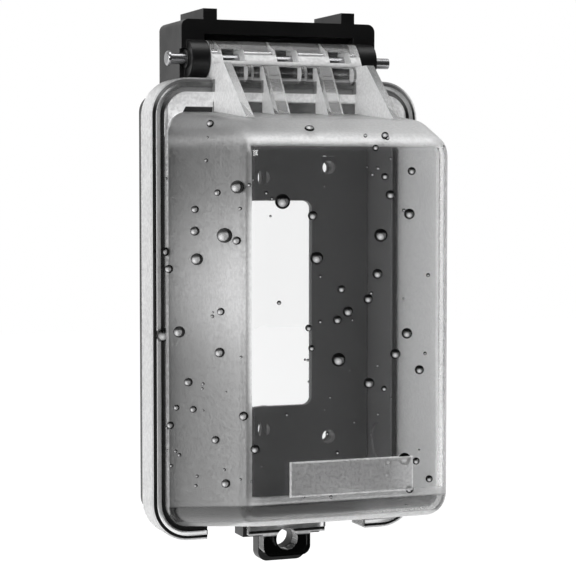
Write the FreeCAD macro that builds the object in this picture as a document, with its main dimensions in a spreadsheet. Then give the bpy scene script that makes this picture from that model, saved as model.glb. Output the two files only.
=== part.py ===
import FreeCAD, Part
import math
import os
from types import SimpleNamespace

import Sketcher
from FreeCAD import Vector

# Weatherproof in-use cover for one electrical box, in millimetres.
# X runs to the right, Z runs up and the wall face is the plane Y = 0.
# The cover stands out of the wall towards -Y, so a depth is -Y.

SIZES = {
    # tray that stands on the wall
    "tray_width": 80.0,
    "tray_height": 137.4,
    "tray_corner": 6.0,
    "tray_depth": 25.9,
    "tray_wall": 2.5,
    "floor_thickness": 2.5,
    "throat_margin": 2.1,
    "knockout_diameter": 12.0,
    "knockout_recess": 0.8,
    "knockout_depth": 16.0,
    "knockout_drop": 46.0,
    # foam gasket against the wall
    "gasket_thickness": 3.0,
    "gasket_gap": 0.3,
    # insert plate round the wiring device
    "insert_thickness": 2.5,
    "insert_gap": 0.5,
    "device_width": 33.8,
    "device_height": 68.0,
    "device_corner": 2.8,
    "screw_spacing": 83.3,
    "screw_hole": 4.2,
    "corner_hole": 4.6,
    "corner_hole_across": 46.0,
    "corner_hole_height": 90.0,
    # cord exits at the bottom
    "cord_offset": 20.0,
    "cord_width": 14.0,
    "cord_back": 12.0,
    "vault_height": 7.0,
    "vault_front": 41.0,
    "vault_wall": 2.0,
    # hinge
    "hinge_depth": 23.5,
    "hinge_height": 78.7,
    "pin_diameter": 3.5,
    "pin_clearance": 0.05,
    "pin_overhang": 6.3,
    "pin_head_diameter": 4.8,
    "pin_head_length": 1.2,
    "pin_head_dome": 0.96,
    "barrel_radius": 5.9,
    "barrel_length": 50.2,
    "running_gap": 0.3,
    "ear_thickness": 5.9,
    "ear_boss_radius": 3.0,
    "ear_boss_height": 0.6,
    "knuckle_end": 7.1,
    "window_width": 7.4,
    "window_head": 3.0,
    "window_sill": 2.4,
    "window_skin": 1.7,
    "cover_slope": 34.0,
    "wing_thickness": 2.0,
    "wing_low": 7.5,
    "wing_round": 3.0,
    "leg_width": 5.3,
    "leg_wall": 1.8,
    # hinge housing on top of the tray
    "hood_clearance": 2.1,
    "cheek_width": 1.7,
    "housing_top": 91.3,
    "housing_corner": 2.5,
    "housing_wall": 2.6,
    "cheek_step": 2.1,
    "cheek_height": 82.0,
    "rib_spacing": 47.0,
    "rib_width": 4.6,
    "rib_height": 3.4,
    # lock hasp
    "hasp_bar_width": 26.4,
    "hasp_bar_height": 5.1,
    "hasp_bar_depth": 8.0,
    "hasp_front": 24.9,
    "tab_width": 16.0,
    "tab_drop": 82.0,
    "tab_thickness": 5.0,
    "tab_corner": 3.0,
    "lock_hole": 7.3,
    "lock_drop": 74.3,
    "lug_drop": 79.8,
    # clear lid
    "skirt_side_gap": 2.9,
    "skirt_end_gap": 1.6,
    "rim_corner": 12.0,
    "rim_front": 30.0,
    "rim_thickness": 2.0,
    "skirt_wall": 2.2,
    "skirt_depth": 10.6,
    "bead_inset": 1.5,
    "bead_width": 1.4,
    "bead_height": 0.6,
    "bubble_width": 81.2,
    "bubble_bottom": 68.0,
    "bubble_top": 62.0,
    "bubble_front": 83.0,
    "bubble_draft": 9.0,
    "top_draft": 5.35,
    "bubble_wall": 2.5,
    "brow_depth": 62.0,
    "brow_round": 30.0,
    "face_top": 53.0,
    "face_round": 7.5,
    "side_round": 6.5,
    "step_top": 68.0,
    "step_height": 1.5,
    "step_corner": 7.0,
    "gusset_front": 41.0,
    "gusset_below_axis": 1.9,
    "gusset_thickness": 2.5,
    "web_thickness": 2.0,
    "panel_width": 39.0,
    "panel_top": -41.3,
    "panel_height": 10.2,
    "panel_rise": 0.5,
    # seal under the lid's rim
    "seal_width": 3.2,
    "seal_thickness": 1.8,
    "seal_overhang": 1.2,
    "seal_gap": 0.3,
}


# Slack for telling where an edge lies, and how far a cut runs past what it cuts.
TOLERANCE = 1e-3
PAST = 1.0


class Size:
    """A length that keeps its value together with the sheet expression behind it."""

    def __init__(self, value, text):
        self.value = float(value)
        self.text = text

    def __add__(self, other):
        other = as_size(other)
        return Size(self.value + other.value, f"({self.text} + {other.text})")

    def __sub__(self, other):
        other = as_size(other)
        return Size(self.value - other.value, f"({self.text} - {other.text})")

    def __mul__(self, other):
        other = as_size(other)
        return Size(self.value * other.value, f"({self.text} * {other.text})")

    def __truediv__(self, other):
        other = as_size(other)
        return Size(self.value / other.value, f"({self.text} / {other.text})")

    def __neg__(self):
        return Size(-self.value, f"(0 - {self.text})")


def as_size(number):
    return number if isinstance(number, Size) else Size(number, repr(number))


def ratio(name, angle):
    """The sin, cos or tan of an angle given in degrees."""
    value = getattr(math, name)(math.radians(angle.value))
    return Size(value, f"{name}({angle.text} * 1 deg)")


def make_sheet(doc):
    sheet = doc.addObject("Spreadsheet::Sheet", "sizes")
    for row, (alias, value) in enumerate(SIZES.items(), start=1):
        sheet.set(f"A{row}", alias)
        sheet.set(f"B{row}", str(value))
        sheet.setAlias(f"B{row}", alias)
    doc.recompute()
    return SimpleNamespace(**{alias: Size(value, f"sizes.{alias}") for alias, value in SIZES.items()})


# Sketches and features


def new_sketch(body, name, role, level=None):
    """A sketch on one of the body's own planes, lifted to a level along its normal."""
    sketch = body.newObject("Sketcher::SketchObject", name)
    plane = next(feature for feature in body.Origin.OriginFeatures if feature.Role == role)
    sketch.AttachmentSupport = [(plane, "")]
    sketch.MapMode = "FlatFace"
    if level is not None:
        sketch.setExpression("AttachmentOffset.Base.z", as_size(level).text)
    return sketch


def front_sketch(body, name, depth):
    """Sketch seen from the front (x, z) at a depth, with its normal out of the wall."""
    return new_sketch(body, name, "XZ_Plane", depth)


def side_sketch(body, name, x):
    """Sketch seen from the side (-depth, z) at a place x, with its normal along +X."""
    return new_sketch(body, name, "YZ_Plane", x)


def constrain(sketch, size, *args):
    index = sketch.addConstraint(Sketcher.Constraint(*args, size.value))
    sketch.setExpression(f"Constraints[{index}]", size.text)


def place_point(sketch, geo, pos, x, y):
    constrain(sketch, as_size(x), "DistanceX", -1, 1, geo, pos)
    constrain(sketch, as_size(y), "DistanceY", -1, 1, geo, pos)


def polygon(sketch, points):
    points = [(as_size(x), as_size(y)) for x, y in points]
    corners = [Vector(x.value, y.value, 0) for x, y in points]
    first = sketch.GeometryCount
    for start, end in zip(corners, corners[1:] + corners[:1]):
        sketch.addGeometry(Part.LineSegment(start, end), False)
    count = len(points)
    for index, (x, y) in enumerate(points):
        before = first + (index - 1) % count
        sketch.addConstraint(Sketcher.Constraint("Coincident", before, 2, first + index, 1))
        place_point(sketch, first + index, 1, x, y)


def rectangle(sketch, x0, x1, y0, y1):
    polygon(sketch, [(x0, y0), (x1, y0), (x1, y1), (x0, y1)])


def circle(sketch, x, y, radius):
    x, y, radius = as_size(x), as_size(y), as_size(radius)
    shape = Part.Circle(Vector(x.value, y.value, 0), Vector(0, 0, 1), radius.value)
    geo = sketch.addGeometry(shape, False)
    place_point(sketch, geo, 3, x, y)
    constrain(sketch, radius, "Radius", geo)


def arc_between(centre, radius, start_degrees, end_degrees):
    base = Part.Circle(centre, Vector(0, 0, 1), radius)
    return Part.ArcOfCircle(base, math.radians(start_degrees), math.radians(end_degrees))


def rounded_rectangle(sketch, x0, x1, y0, y1, radius):
    x0, x1, y0, y1, radius = [as_size(value) for value in (x0, x1, y0, y1, radius)]
    left, right, low, high, r = x0.value, x1.value, y0.value, y1.value, radius.value
    first = sketch.GeometryCount
    sides = [
        (Vector(left + r, low, 0), Vector(right - r, low, 0)),
        (Vector(right, low + r, 0), Vector(right, high - r, 0)),
        (Vector(right - r, high, 0), Vector(left + r, high, 0)),
        (Vector(left, high - r, 0), Vector(left, low + r, 0)),
    ]
    centres = [
        Vector(right - r, low + r, 0),
        Vector(right - r, high - r, 0),
        Vector(left + r, high - r, 0),
        Vector(left + r, low + r, 0),
    ]
    for index in range(4):
        sketch.addGeometry(Part.LineSegment(*sides[index]), False)
        sketch.addGeometry(arc_between(centres[index], r, 90 * index - 90, 90 * index), False)
    for index in range(4):
        line = first + 2 * index
        arc = line + 1
        following = first + (2 * index + 2) % 8
        sketch.addConstraint(Sketcher.Constraint("Tangent", line, 2, arc, 1))
        sketch.addConstraint(Sketcher.Constraint("Tangent", arc, 2, following, 1))
        direction = "Vertical" if index % 2 else "Horizontal"
        sketch.addConstraint(Sketcher.Constraint(direction, line))
        if index:
            sketch.addConstraint(Sketcher.Constraint("Equal", first + 1, arc))
    constrain(sketch, radius, "Radius", first + 1)
    constrain(sketch, y0, "DistanceY", -1, 1, first, 1)
    constrain(sketch, x1, "DistanceX", -1, 1, first + 2, 1)
    constrain(sketch, y1, "DistanceY", -1, 1, first + 4, 1)
    constrain(sketch, x0, "DistanceX", -1, 1, first + 6, 1)


def arch(sketch, x, half_width, foot, spring):
    """Upright sides from the foot to the spring line, closed by a half circle."""
    x, half_width, foot, spring = [as_size(value) for value in (x, half_width, foot, spring)]
    left, right = (x - half_width), (x + half_width)
    low_left = Vector(left.value, foot.value, 0)
    low_right = Vector(right.value, foot.value, 0)
    high_left = Vector(left.value, spring.value, 0)
    high_right = Vector(right.value, spring.value, 0)
    first = sketch.GeometryCount
    sketch.addGeometry(Part.LineSegment(high_left, low_left), False)
    sketch.addGeometry(Part.LineSegment(low_left, low_right), False)
    sketch.addGeometry(Part.LineSegment(low_right, high_right), False)
    crown = Vector(x.value, spring.value, 0)
    sketch.addGeometry(arc_between(crown, half_width.value, 0, 180), False)
    for index in range(4):
        following = first + (index + 1) % 4
        sketch.addConstraint(Sketcher.Constraint("Coincident", first + index, 2, following, 1))
    place_point(sketch, first, 2, left, foot)
    place_point(sketch, first + 2, 1, right, foot)
    place_point(sketch, first, 1, left, spring)
    place_point(sketch, first + 2, 2, right, spring)
    constrain(sketch, spring, "DistanceY", -1, 1, first + 3, 3)


def pad(body, name, sketch, length):
    feature = body.newObject("PartDesign::Pad", name)
    feature.Profile = sketch
    feature.setExpression("Length", as_size(length).text)
    body.Document.recompute()
    return feature


def pocket(body, name, sketch, length):
    """Cuts along the sketch's normal, away from its level."""
    before = body.Shape.Volume
    feature = body.newObject("PartDesign::Pocket", name)
    feature.Profile = sketch
    feature.Reversed = True
    feature.setExpression("Length", as_size(length).text)
    body.Document.recompute()
    if not body.Shape.Volume < before:
        raise RuntimeError(f"{name} cuts nothing")
    return feature


def fillet(body, name, radius, chosen):
    """Rounds the edges of the body's tip for which chosen(edge) is true."""
    base = body.Tip
    edges = [f"Edge{n}" for n, edge in enumerate(base.Shape.Edges, start=1) if chosen(edge)]
    if not edges:
        raise RuntimeError(f"{name} found no edge")
    feature = body.newObject("PartDesign::Fillet", name)
    feature.Base = (base, edges)
    feature.setExpression("Radius", as_size(radius).text)
    body.Document.recompute()
    return feature


def edge_runs_along(edge, axis, tolerance=1e-4):
    start, end = edge.Vertexes[0].Point, edge.Vertexes[-1].Point
    run = end - start
    return run.Length > tolerance and abs(run.dot(axis)) > run.Length * (1 - tolerance)


def new_body(doc, name):
    body = doc.addObject("PartDesign::Body", name)
    body.Label = name
    return body


# Base: tray, hinge housing and lock hasp, moulded in one


def tray_inside(s):
    """Half width, half height and corner radius inside the tray's wall."""
    return s.tray_width / 2 - s.tray_wall, s.tray_height / 2 - s.tray_wall, s.tray_corner - s.tray_wall


def hinge_widths(s):
    """Half widths over the barrel's bay, over the ears and over the housing."""
    bay = s.barrel_length / 2 + s.running_gap
    ears = bay + s.ear_thickness
    return bay, ears, ears + s.cheek_width


def rim_outside(s):
    """Half width and half height over the lid's skirt."""
    across = s.tray_width / 2 + s.skirt_side_gap + s.skirt_wall
    return across, s.tray_height / 2 + s.skirt_end_gap + s.skirt_wall


def mounting_holes(sketch, s):
    """Two box screws on the centre line and four holes near the corners."""
    for side in (-1, 1):
        circle(sketch, 0, s.screw_spacing / 2 * side, s.screw_hole / 2)
        for across in (-1, 1):
            x = s.corner_hole_across / 2 * across
            z = s.corner_hole_height / 2 * side
            circle(sketch, x, z, s.corner_hole / 2)


def throat(sketch, s):
    half_width = s.device_width / 2 + s.throat_margin
    half_height = s.device_height / 2 + s.throat_margin
    rounded_rectangle(sketch, -half_width, half_width, -half_height, half_height, s.device_corner)


def tray_features(body, s):
    half_width, half_height = s.tray_width / 2, s.tray_height / 2
    sketch = front_sketch(body, "tray_outline", 0)
    rounded_rectangle(sketch, -half_width, half_width, -half_height, half_height, s.tray_corner)
    pad(body, "tray_block", sketch, s.tray_depth)

    inside_x, inside_z, corner = tray_inside(s)
    floor_front = s.gasket_thickness + s.floor_thickness
    for name, depth, length in (
        ("gasket_recess", as_size(0), s.gasket_thickness),
        ("tray_hollow", floor_front, s.tray_depth - floor_front),
    ):
        sketch = front_sketch(body, f"{name}_outline", depth)
        rounded_rectangle(sketch, -inside_x, inside_x, -inside_z, inside_z, corner)
        pocket(body, name, sketch, length)

    sketch = front_sketch(body, "throat_outline", s.gasket_thickness)
    throat(sketch, s)
    mounting_holes(sketch, s)
    pocket(body, "throat", sketch, s.floor_thickness)

    sketch = front_sketch(body, "cord_notch_outline", s.cord_back)
    for side in (-1, 1):
        near = (s.cord_offset - s.cord_width / 2) * side
        far = (s.cord_offset + s.cord_width / 2) * side
        rectangle(sketch, near, far, -(half_height + PAST), -(inside_z - PAST))
    pocket(body, "cord_notches", sketch, s.tray_depth - s.cord_back)

    for side, start in ((-1, -(inside_x + s.knockout_recess)), (1, inside_x)):
        name = "knockout_left" if side < 0 else "knockout_right"
        sketch = side_sketch(body, f"{name}_outline", start)
        circle(sketch, -s.knockout_depth, -s.knockout_drop, s.knockout_diameter / 2)
        pocket(body, name, sketch, s.knockout_recess)


def housing_features(body, s):
    """Hinge housing: a hood over the lid's barrel, cored from behind, with two ears."""
    ear_inner, ear_outer, half_width = hinge_widths(s)
    wall_middle = s.tray_height / 2 - s.tray_wall / 2
    skirt_back = s.rim_front - s.skirt_depth
    foot_front = skirt_back - s.running_gap
    sketch = front_sketch(body, "housing_outline", 0)
    rectangle(sketch, -half_width, half_width, wall_middle, s.housing_top)
    pad(body, "housing_block", sketch, foot_front)

    hood_low = rim_outside(s)[1] + s.running_gap
    sketch = front_sketch(body, "hood_outline", foot_front)
    rectangle(sketch, -half_width, half_width, hood_low, s.housing_top)
    pad(body, "hood", sketch, s.hinge_depth - foot_front)
    fillet(
        body,
        "housing_shoulders",
        s.housing_corner,
        lambda edge: edge_runs_along(edge, Vector(0, 1, 0))
        and abs(edge.Vertexes[0].Z - s.housing_top.value) < TOLERANCE,
    )

    cheek_front = s.hinge_depth - s.cheek_step
    sketch = front_sketch(body, "cheek_outline", cheek_front)
    for side in (-1, 1):
        outside = (half_width + PAST) * side
        rectangle(sketch, ear_outer * side, outside, hood_low - PAST, s.cheek_height)
    pocket(body, "cheek_steps", sketch, s.cheek_step)

    sketch = front_sketch(body, "rib_outline", 0)
    for side in (-1, 1):
        near = (s.rib_spacing / 2 - s.rib_width / 2) * side
        far = (s.rib_spacing / 2 + s.rib_width / 2) * side
        rectangle(sketch, near, far, s.housing_top - s.housing_wall, s.housing_top + s.rib_height)
    pad(body, "housing_ribs", sketch, s.hinge_depth)

    cavity = s.barrel_radius + s.hood_clearance
    sketch = side_sketch(body, "barrel_bay_outline", -ear_inner)
    arch(sketch, -s.hinge_depth, cavity, wall_middle + s.tray_wall / 2, s.hinge_height)
    pocket(body, "barrel_bay", sketch, ear_inner * 2)

    for side, start in ((-1, -ear_outer), (1, ear_inner)):
        name = "ear_left" if side < 0 else "ear_right"
        sketch = side_sketch(body, f"{name}_outline", start)
        circle(sketch, -s.hinge_depth, s.hinge_height, s.barrel_radius)
        pad(body, name, sketch, s.ear_thickness)
        boss_start = start - s.ear_boss_height if side < 0 else start + s.ear_thickness
        sketch = side_sketch(body, f"{name}_boss_outline", boss_start)
        circle(sketch, -s.hinge_depth, s.hinge_height, s.ear_boss_radius)
        pad(body, f"{name}_boss", sketch, s.ear_boss_height)

    bore_start = ear_outer + s.ear_boss_height
    sketch = side_sketch(body, "pin_bore_outline", -bore_start)
    circle(sketch, -s.hinge_depth, s.hinge_height, s.pin_diameter / 2 + s.pin_clearance)
    pocket(body, "pin_bore", sketch, bore_start * 2)

    core_depth = s.hinge_depth - cavity - s.housing_wall
    core_low = s.tray_height / 2 + s.housing_wall
    core_high = s.housing_top - s.housing_wall
    cell = (half_width * 2 - s.housing_wall * 5) / 4
    sketch = front_sketch(body, "core_outline", 0)
    for index in range(4):
        left = -half_width + s.housing_wall * (index + 1) + cell * index
        rectangle(sketch, left, left + cell, core_low, core_high)
    pocket(body, "housing_cores", sketch, core_depth)


def hasp_features(body, s):
    wall_middle = s.tray_height / 2 - s.tray_wall / 2
    bar_low = s.tray_height / 2 + s.hasp_bar_height
    half_bar, half_tab = s.hasp_bar_width / 2, s.tab_width / 2
    bar_back = s.hasp_front - s.hasp_bar_depth
    sketch = front_sketch(body, "hasp_bar_outline", bar_back)
    rectangle(sketch, -half_bar, half_bar, -bar_low, -wall_middle)
    pad(body, "hasp_bar", sketch, s.hasp_bar_depth)

    tab_back = s.hasp_front - s.tab_thickness
    sketch = front_sketch(body, "hasp_tab_outline", tab_back)
    rounded_rectangle(sketch, -half_tab, half_tab, -s.tab_drop, -(s.tray_height / 2), s.tab_corner)
    pad(body, "hasp_tab", sketch, s.tab_thickness)

    sketch = front_sketch(body, "hasp_hole_outline", bar_back)
    circle(sketch, 0, -s.lock_drop, s.lock_hole / 2)
    pocket(body, "hasp_hole", sketch, s.hasp_bar_depth)


def make_base(doc, s):
    body = new_body(doc, "base")
    tray_features(body, s)
    housing_features(body, s)
    hasp_features(body, s)
    return body


# Pieces that lie in the tray


def make_wall_gasket(doc, s):
    body = new_body(doc, "wall_gasket")
    inside_x, inside_z, corner = tray_inside(s)
    half_width, half_height = inside_x - s.gasket_gap, inside_z - s.gasket_gap
    sketch = front_sketch(body, "gasket_outline", 0)
    rounded_rectangle(
        sketch, -half_width, half_width, -half_height, half_height, corner - s.gasket_gap
    )
    throat(sketch, s)
    mounting_holes(sketch, s)
    pad(body, "gasket_sheet", sketch, s.gasket_thickness)
    return body


def make_device_insert(doc, s):
    body = new_body(doc, "device_insert")
    inside_x, inside_z, corner = tray_inside(s)
    half_width, half_height = inside_x - s.insert_gap, inside_z - s.insert_gap
    sketch = front_sketch(body, "insert_outline", s.gasket_thickness + s.floor_thickness)
    rounded_rectangle(
        sketch, -half_width, half_width, -half_height, half_height, corner - s.insert_gap
    )
    opening_x, opening_z = s.device_width / 2, s.device_height / 2
    rounded_rectangle(sketch, -opening_x, opening_x, -opening_z, opening_z, s.device_corner)
    mounting_holes(sketch, s)
    pad(body, "insert_plate", sketch, s.insert_thickness)
    return body


# Hinge pin


def make_hinge_pin(doc, s):
    body = new_body(doc, "hinge_pin")
    end = hinge_widths(s)[1] + s.pin_overhang
    sketch = side_sketch(body, "shank_outline", -end)
    circle(sketch, -s.hinge_depth, s.hinge_height, s.pin_diameter / 2)
    pad(body, "shank", sketch, end * 2)
    sketch = side_sketch(body, "head_outline", -end - s.pin_head_length / 2)
    circle(sketch, -s.hinge_depth, s.hinge_height, s.pin_head_diameter / 2)
    pad(body, "head", sketch, s.pin_head_length)
    left = -(end + s.pin_head_length / 2).value
    fillet(
        body,
        "head_dome",
        s.pin_head_dome,
        lambda edge: abs(edge.BoundBox.XMin - left) < TOLERANCE > abs(edge.BoundBox.XMax - left),
    )
    return body


# Clear lid: the outside form, less the form of its hollow


def bubble(body, s, inset, start):
    """Drafted bubble with a sloping brow, smaller all round by the inset."""
    draft = ratio("tan", s.bubble_draft)
    top_draft = ratio("tan", s.top_draft)
    front = s.bubble_front - inset
    brow_slope = (s.bubble_top - (s.brow_depth - s.rim_front) * top_draft - s.face_top) / (
        s.bubble_front - s.brow_depth
    )

    def half_width_at(depth):
        return s.bubble_width / 2 - inset - (depth - s.rim_front) * draft

    def low_at(depth):
        return -(s.bubble_bottom - inset - (depth - s.rim_front) * draft)

    def high_at(depth):
        return s.bubble_top - inset - (depth - s.rim_front) * top_draft

    face_high = s.face_top - inset + brow_slope * inset
    widest = half_width_at(start)
    sketch = side_sketch(body, f"{body.Name}_profile", -widest)
    polygon(
        sketch,
        [
            (-start, low_at(start)),
            (-front, low_at(front)),
            (-front, face_high),
            (-s.brow_depth, high_at(s.brow_depth)),
            (-start, high_at(start)),
        ],
    )
    pad(body, f"{body.Name}_block", sketch, widest * 2)

    beyond = front + PAST
    sketch = new_sketch(body, f"{body.Name}_draft_outline", "XY_Plane", low_at(start) - PAST)
    for side in (-1, 1):
        polygon(
            sketch,
            [
                (widest * side, -start),
                (half_width_at(beyond) * side, -beyond),
                ((widest + PAST) * side, -beyond),
                ((widest + PAST) * side, -start),
            ],
        )
    pocket(body, f"{body.Name}_draft", sketch, high_at(start) - low_at(start) + PAST * 2)

    def crosswise_at(depth, height):
        def chosen(edge):
            spot = edge.Vertexes[0].Point
            return (
                edge_runs_along(edge, Vector(1, 0, 0))
                and abs(spot.y + depth.value) < TOLERANCE
                and abs(spot.z - height.value) < TOLERANCE
            )

        return chosen

    face_round = s.face_round - inset
    fillet(body, f"{body.Name}_brow", s.brow_round, crosswise_at(s.brow_depth, high_at(s.brow_depth)))
    fillet(body, f"{body.Name}_face_top", face_round, crosswise_at(front, face_high))
    fillet(body, f"{body.Name}_face_low", face_round, crosswise_at(front, low_at(front)))

    def round_the_side(edge):
        if edge.BoundBox.YMin > -start.value - TOLERANCE:
            return False
        return any(
            isinstance(face.Surface, Part.Plane) and abs(face.normalAt(0, 0).x) > 0.9
            for face in body.Tip.Shape.ancestorsOfType(edge, Part.Face)
        )

    fillet(body, f"{body.Name}_sides", s.side_round - inset, round_the_side)


def rim_features(body, s):
    half_width, half_height = rim_outside(s)
    rim_back = s.rim_front - s.rim_thickness
    skirt_back = s.rim_front - s.skirt_depth

    sketch = front_sketch(body, "rim_outline", rim_back)
    rounded_rectangle(sketch, -half_width, half_width, -half_height, half_height, s.rim_corner)
    pad(body, "rim_plate", sketch, s.rim_thickness)

    step_x = s.bubble_width / 2
    sketch = front_sketch(body, "step_outline", rim_back)
    rounded_rectangle(sketch, -step_x, step_x, -s.bubble_bottom, s.step_top, s.step_corner)
    pad(body, "step", sketch, s.rim_thickness + s.step_height)

    sketch = front_sketch(body, "skirt_outline", skirt_back)
    for inset in (as_size(0), s.skirt_wall):
        across, up = half_width - inset, half_height - inset
        rounded_rectangle(sketch, -across, across, -up, up, s.rim_corner - inset)
    pad(body, "skirt", sketch, s.skirt_depth)

    sketch = front_sketch(body, "bead_outline", s.rim_front)
    for inset in (s.bead_inset, s.bead_inset + s.bead_width):
        across, up = half_width - inset, half_height - inset
        rounded_rectangle(sketch, -across, across, -up, up, s.rim_corner - inset)
    pad(body, "bead", sketch, s.bead_height)


def rim_cuts(body, s):
    """Room for the hinge at the top and for the hasp and the cords at the bottom."""
    rim_back = s.rim_front - s.rim_thickness
    skirt_back = s.rim_front - s.skirt_depth
    half_height = rim_outside(s)[1]
    skirt_inside = half_height - s.skirt_wall
    cords = s.cord_offset + s.cord_width / 2
    sketch = front_sketch(body, "skirt_cut_outline", skirt_back)
    gap = hinge_widths(s)[0] + s.running_gap
    beyond = half_height + PAST
    rectangle(sketch, -gap, gap, skirt_inside - PAST, beyond)
    rectangle(sketch, -cords, cords, -beyond, -(skirt_inside - PAST))
    pocket(body, "skirt_cuts", sketch, rim_back - skirt_back)

    spring = -s.bubble_bottom + s.vault_height - s.cord_width / 2
    sketch = front_sketch(body, "cord_tunnel_outline", skirt_back)
    for side in (-1, 1):
        arch(sketch, s.cord_offset * side, s.cord_width / 2, -beyond, spring)
    pocket(body, "cord_tunnels", sketch, s.vault_front - skirt_back)


def lid_hinge_features(body, s):
    """Barrel with a sloping cover, wings and legs below the cover, and a gusset at each end."""
    half_barrel = s.barrel_length / 2
    sketch = side_sketch(body, "barrel_outline", -half_barrel)
    circle(sketch, -s.hinge_depth, s.hinge_height, s.barrel_radius)
    pad(body, "barrel", sketch, s.barrel_length)

    web_back = s.hinge_depth + s.barrel_radius - s.web_thickness
    skirt_inside = rim_outside(s)[1] - s.skirt_wall
    sketch = front_sketch(body, "web_outline", web_back)
    rectangle(sketch, -half_barrel, half_barrel, skirt_inside, s.hinge_height)
    pad(body, "web", sketch, s.web_thickness)

    touch_depth = s.hinge_depth + s.barrel_radius * ratio("cos", s.cover_slope)
    touch_height = s.hinge_height + s.barrel_radius * ratio("sin", s.cover_slope)

    def slope_at(height):
        return touch_depth + (touch_height - height) * ratio("tan", s.cover_slope)

    def wedge(name, start, length, low):
        sketch = side_sketch(body, f"{name}_outline", start)
        polygon(
            sketch,
            [
                (-web_back, s.hinge_height),
                (-web_back, low),
                (-slope_at(low), low),
                (-touch_depth, touch_height),
            ],
        )
        pad(body, name, sketch, length)

    sill = s.hinge_height - s.window_sill
    wedge("cover", -half_barrel, s.barrel_length, sill)

    rim_middle = s.rim_front - s.rim_thickness / 2
    inside_top = s.bubble_top - s.bubble_wall
    gusset_top = s.hinge_height - s.gusset_below_axis
    gusset_low = s.hinge_height - s.barrel_radius
    brow_top = s.bubble_top - (s.brow_depth - s.rim_front) * ratio("tan", s.top_draft)
    for side in (-1, 1):
        name = "gusset_left" if side < 0 else "gusset_right"
        level = -half_barrel if side < 0 else half_barrel - s.gusset_thickness
        sketch = side_sketch(body, f"{name}_outline", level)
        polygon(
            sketch,
            [
                (-s.hinge_depth, gusset_low),
                (-rim_middle, gusset_low),
                (-rim_middle, inside_top),
                (-s.brow_depth, brow_top - s.bubble_wall),
                (-s.brow_depth, brow_top),
                (-s.gusset_front, gusset_top),
                (-s.hinge_depth, gusset_top),
            ],
        )
        pad(body, name, sketch, s.gusset_thickness)

    wing_low = s.hinge_height - s.wing_low
    wing_front = slope_at(wing_low)
    window_place = half_barrel - s.knuckle_end
    half_window = s.window_width / 2
    for index, place in ((-1, "left"), (0, "middle"), (1, "right")):
        right_edge = window_place * index + half_window
        wedge(f"wing_{place}", right_edge, s.wing_thickness, wing_low)
    fillet(
        body,
        "wing_rounds",
        s.wing_round,
        lambda edge: edge_runs_along(edge, Vector(1, 0, 0))
        and abs(edge.Vertexes[0].Y + wing_front.value) < TOLERANCE
        and abs(edge.Vertexes[0].Z - wing_low.value) < TOLERANCE,
    )

    plate_back = s.web_thickness / ratio("cos", s.cover_slope)
    for index, place in ((0, "middle"), (1, "right")):
        left_edge = window_place * index - half_window
        sketch = side_sketch(body, f"leg_{place}_outline", left_edge - s.leg_width)
        polygon(
            sketch,
            [
                (-slope_at(sill), sill),
                (-slope_at(inside_top), inside_top),
                (plate_back - slope_at(inside_top), inside_top),
                (plate_back - slope_at(sill), sill),
            ],
        )
        pad(body, f"leg_{place}", sketch, s.leg_width)
        sketch = side_sketch(body, f"leg_{place}_wall_outline", left_edge - s.leg_width)
        polygon(
            sketch,
            [
                (-web_back, sill),
                (-web_back, skirt_inside),
                (-rim_middle, skirt_inside),
                (-rim_middle, inside_top),
                (-slope_at(inside_top), inside_top),
                (-slope_at(sill), sill),
            ],
        )
        pad(body, f"leg_{place}_wall", sketch, s.leg_wall)


def lid_hinge_cuts(body, s):
    """Three windows that show the pin, and the pin's bore."""
    window_place = s.barrel_length / 2 - s.knuckle_end
    half_window = s.window_width / 2
    head = s.hinge_height + s.window_head
    sill = s.hinge_height - s.window_sill
    back = s.hinge_depth - s.barrel_radius + s.window_skin
    sketch = front_sketch(body, "window_outline", back)
    for index in (-1, 0, 1):
        centre = window_place * index
        rectangle(sketch, centre - half_window, centre + half_window, sill, head)
    pocket(body, "windows", sketch, s.barrel_radius * 2)

    end = s.barrel_length / 2 + PAST
    sketch = side_sketch(body, "barrel_bore_outline", -end)
    circle(sketch, -s.hinge_depth, s.hinge_height, s.pin_diameter / 2 + s.pin_clearance)
    pocket(body, "barrel_bore", sketch, end * 2)


def lid_front_features(body, s):
    """Bare raised panel on the face and the lug that meets the hasp."""
    half_panel = s.panel_width / 2
    sketch = front_sketch(body, "panel_outline", s.bubble_front)
    rectangle(sketch, -half_panel, half_panel, s.panel_top - s.panel_height, s.panel_top)
    pad(body, "panel", sketch, s.panel_rise)

    half_tab = s.tab_width / 2
    lug_back = s.hasp_front + s.running_gap
    skirt_inside = rim_outside(s)[1] - s.skirt_wall
    sketch = front_sketch(body, "lug_outline", lug_back)
    rounded_rectangle(sketch, -half_tab, half_tab, -s.lug_drop, -skirt_inside, s.tab_corner)
    pad(body, "lug", sketch, s.rim_front - lug_back)
    sketch = front_sketch(body, "lug_hole_outline", lug_back)
    circle(sketch, 0, -s.lock_drop, s.lock_hole / 2)
    pocket(body, "lug_hole", sketch, s.rim_front - lug_back + s.bead_height)


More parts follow.
